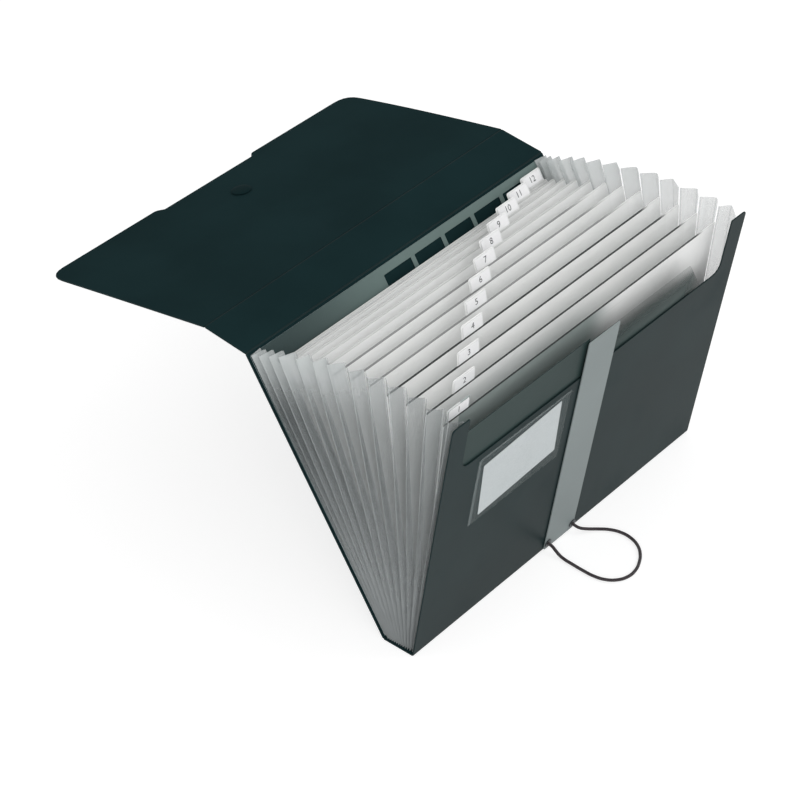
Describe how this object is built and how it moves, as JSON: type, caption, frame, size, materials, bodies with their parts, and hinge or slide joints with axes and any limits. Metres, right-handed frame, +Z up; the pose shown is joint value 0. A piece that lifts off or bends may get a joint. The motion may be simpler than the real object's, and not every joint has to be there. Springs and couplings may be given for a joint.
{
  "type": "expanding file folder",
  "caption": "Expanding file for landscape papers: a scored plastic cover with a flap, tabbed pockets between pleated sides, and an elastic loop for the flap's button.",
  "frame": {"origin": "middle of the bottom spine's underside, where the file stands", "axes": "+X along the spine from the label side to the plain side, +Y to the back, where the flap hangs out, +Z up"},
  "size_m": [0.33, 0.4222, 0.2293],
  "materials": {
    "cover_plastic": "fine-grained dark slate polypropylene sheet, satin",
    "divider_sheet": "frosted translucent polypropylene sheet",
    "pleat_sheet": "thin frosted polypropylene film, creased",
    "tinted_sheet": "smoke-tinted frosted sheet",
    "index_sheet": "frosted sheet lying on the dark back cover",
    "strap_plastic": "mid grey plastic band, satin",
    "clear_film": "clear glossy film",
    "card": "white card, bare",
    "tab_paper": "white paper label with a plain number",
    "elastic_cord": "round braided elastic, black",
    "eyelet_metal": "dark enamelled eyelet",
    "stop_plastic": "moulded crimp on the cord's end",
    "button_plastic": "moulded dark plastic, slightly glossy"
  },
  "bodies": {
    "spine": {"bottom_spine": "cover_plastic"},
    "back_cover": {"back_panel": "cover_plastic", "rear_index_sheet": "index_sheet", "pocket_gusset_13": "pleat_sheet"},
    "top_strip": {"top_spine": "cover_plastic"},
    "closing_flap": {"flap": "cover_plastic", "closure_button": "button_plastic", "button_rivet_cap": "button_plastic"},
    "front_cover": {"front_panel": "cover_plastic", "front_pocket_wall": "tinted_sheet", "centre_strap": "strap_plastic", "label_pocket": "clear_film", "loop_eyelet_near": "eyelet_metal", "loop_eyelet_far": "eyelet_metal", "loop_end_stop_near": "stop_plastic", "loop_end_stop_far": "stop_plastic", "elastic_loop": "elastic_cord"},
    "label_insert": {"label_card": "card"},
    "divider_01_leaf": {"divider_01": "divider_sheet", "tab_label_01": "tab_paper", "pocket_gusset_01": "pleat_sheet"},
    "divider_02_leaf": {"divider_02": "divider_sheet", "tab_label_02": "tab_paper", "pocket_gusset_02": "pleat_sheet"},
    "divider_03_leaf": {"divider_03": "divider_sheet", "tab_label_03": "tab_paper", "pocket_gusset_03": "pleat_sheet"},
    "divider_04_leaf": {"divider_04": "divider_sheet", "tab_label_04": "tab_paper", "pocket_gusset_04": "pleat_sheet"},
    "divider_05_leaf": {"divider_05": "divider_sheet", "tab_label_05": "tab_paper", "pocket_gusset_05": "pleat_sheet"},
    "divider_06_leaf": {"divider_06": "divider_sheet", "tab_label_06": "tab_paper", "pocket_gusset_06": "pleat_sheet"},
    "divider_07_leaf": {"divider_07": "divider_sheet", "tab_label_07": "tab_paper", "pocket_gusset_07": "pleat_sheet"},
    "divider_08_leaf": {"divider_08": "divider_sheet", "tab_label_08": "tab_paper", "pocket_gusset_08": "pleat_sheet"},
    "divider_09_leaf": {"divider_09": "divider_sheet", "tab_label_09": "tab_paper", "pocket_gusset_09": "pleat_sheet"},
    "divider_10_leaf": {"divider_10": "divider_sheet", "tab_label_10": "tab_paper", "pocket_gusset_10": "pleat_sheet"},
    "divider_11_leaf": {"divider_11": "divider_sheet", "tab_label_11": "tab_paper", "pocket_gusset_11": "pleat_sheet"},
    "divider_12_leaf": {"divider_12": "divider_sheet", "tab_label_12": "tab_paper", "pocket_gusset_12": "pleat_sheet"}
  },
  "joints": [
    {"name": "cover_opening", "type": "hinge", "parent": "spine", "child": "back_cover", "pos_m": [0, 0.014, 0.0005], "axis": [1, 0, 0], "range_deg": [0, 29.6], "deforming": ["pocket_gusset_01", "pocket_gusset_02", "pocket_gusset_03", "pocket_gusset_04", "pocket_gusset_05", "pocket_gusset_06", "pocket_gusset_07", "pocket_gusset_08", "pocket_gusset_09", "pocket_gusset_10", "pocket_gusset_11", "pocket_gusset_12", "pocket_gusset_13"]},
    {"name": "top_strip_fold", "type": "hinge", "parent": "back_cover", "child": "top_strip", "pos_m": [0, 0.13286, 0.20148], "axis": [1, 0, 0], "range_deg": [0, 143.45]},
    {"name": "flap_fold", "type": "hinge", "parent": "top_strip", "child": "closing_flap", "pos_m": [0, 0.17256, 0.20636], "axis": [1, 0, 0], "range_deg": [0, 107]},
    {"name": "front_cover_opening", "type": "hinge", "parent": "spine", "child": "front_cover", "pos_m": [0, -0.014, 0.0005], "axis": [1, 0, 0], "range_deg": [-9.71, 0]},
    {"name": "label_card_slide", "type": "slide", "parent": "front_cover", "child": "label_insert", "axis": [0, -0.1857, 0.9826], "range_m": [0, 0.045]},
    {"name": "divider_01_fan", "type": "hinge", "parent": "spine", "child": "divider_01_leaf", "pos_m": [0, -0.01081, 0.0013], "axis": [1, 0, 0], "range_deg": [-6.5, 0]},
    {"name": "divider_02_fan", "type": "hinge", "parent": "spine", "child": "divider_02_leaf", "pos_m": [0, -0.00881, 0.0013], "axis": [1, 0, 0], "range_deg": [-2.96, 0]},
    {"name": "divider_03_fan", "type": "hinge", "parent": "spine", "child": "divider_03_leaf", "pos_m": [0, -0.00682, 0.0013], "axis": [1, 0, 0], "range_deg": [0, 0.817]},
    {"name": "divider_04_fan", "type": "hinge", "parent": "spine", "child": "divider_04_leaf", "pos_m": [0, -0.00483, 0.0013], "axis": [1, 0, 0], "range_deg": [0, 4.7]},
    {"name": "divider_05_fan", "type": "hinge", "parent": "spine", "child": "divider_05_leaf", "pos_m": [0, -0.00284, 0.0013], "axis": [1, 0, 0], "range_deg": [0, 8.62]},
    {"name": "divider_06_fan", "type": "hinge", "parent": "spine", "child": "divider_06_leaf", "pos_m": [0, -0.00085, 0.0013], "axis": [1, 0, 0], "range_deg": [0, 12.47]},
    {"name": "divider_07_fan", "type": "hinge", "parent": "spine", "child": "divider_07_leaf", "pos_m": [0, 0.00115, 0.0013], "axis": [1, 0, 0], "range_deg": [0, 16.17]},
    {"name": "divider_08_fan", "type": "hinge", "parent": "spine", "child": "divider_08_leaf", "pos_m": [0, 0.00314, 0.0013], "axis": [1, 0, 0], "range_deg": [0, 19.61]},
    {"name": "divider_09_fan", "type": "hinge", "parent": "spine", "child": "divider_09_leaf", "pos_m": [0, 0.00513, 0.0013], "axis": [1, 0, 0], "range_deg": [0, 22.7]},
    {"name": "divider_10_fan", "type": "hinge", "parent": "spine", "child": "divider_10_leaf", "pos_m": [0, 0.00712, 0.0013], "axis": [1, 0, 0], "range_deg": [0, 25.33]},
    {"name": "divider_11_fan", "type": "hinge", "parent": "spine", "child": "divider_11_leaf", "pos_m": [0, 0.00911, 0.0013], "axis": [1, 0, 0], "range_deg": [0, 27.43]},
    {"name": "divider_12_fan", "type": "hinge", "parent": "spine", "child": "divider_12_leaf", "pos_m": [0, 0.01111, 0.0013], "axis": [1, 0, 0], "range_deg": [0, 28.89]}
  ],
  "couplings": [
    {"joint": "top_strip_fold", "follows": "cover_opening", "ratio": 4.8446},
    {"joint": "front_cover_opening", "follows": "cover_opening", "ratio": -0.3277},
    {"joint": "divider_01_fan", "follows": "cover_opening", "ratio": -0.21909},
    {"joint": "divider_02_fan", "follows": "cover_opening", "ratio": -0.09969},
    {"joint": "divider_03_fan", "follows": "cover_opening", "ratio": 0.02727},
    {"joint": "divider_04_fan", "follows": "cover_opening", "ratio": 0.15855},
    {"joint": "divider_05_fan", "follows": "cover_opening", "ratio": 0.29092},
    {"joint": "divider_06_fan", "follows": "cover_opening", "ratio": 0.42112},
    {"joint": "divider_07_fan", "follows": "cover_opening", "ratio": 0.54592},
    {"joint": "divider_08_fan", "follows": "cover_opening", "ratio": 0.66209},
    {"joint": "divider_09_fan", "follows": "cover_opening", "ratio": 0.76638},
    {"joint": "divider_10_fan", "follows": "cover_opening", "ratio": 0.85555},
    {"joint": "divider_11_fan", "follows": "cover_opening", "ratio": 0.92637},
    {"joint": "divider_12_fan", "follows": "cover_opening", "ratio": 0.9756}
  ]
}
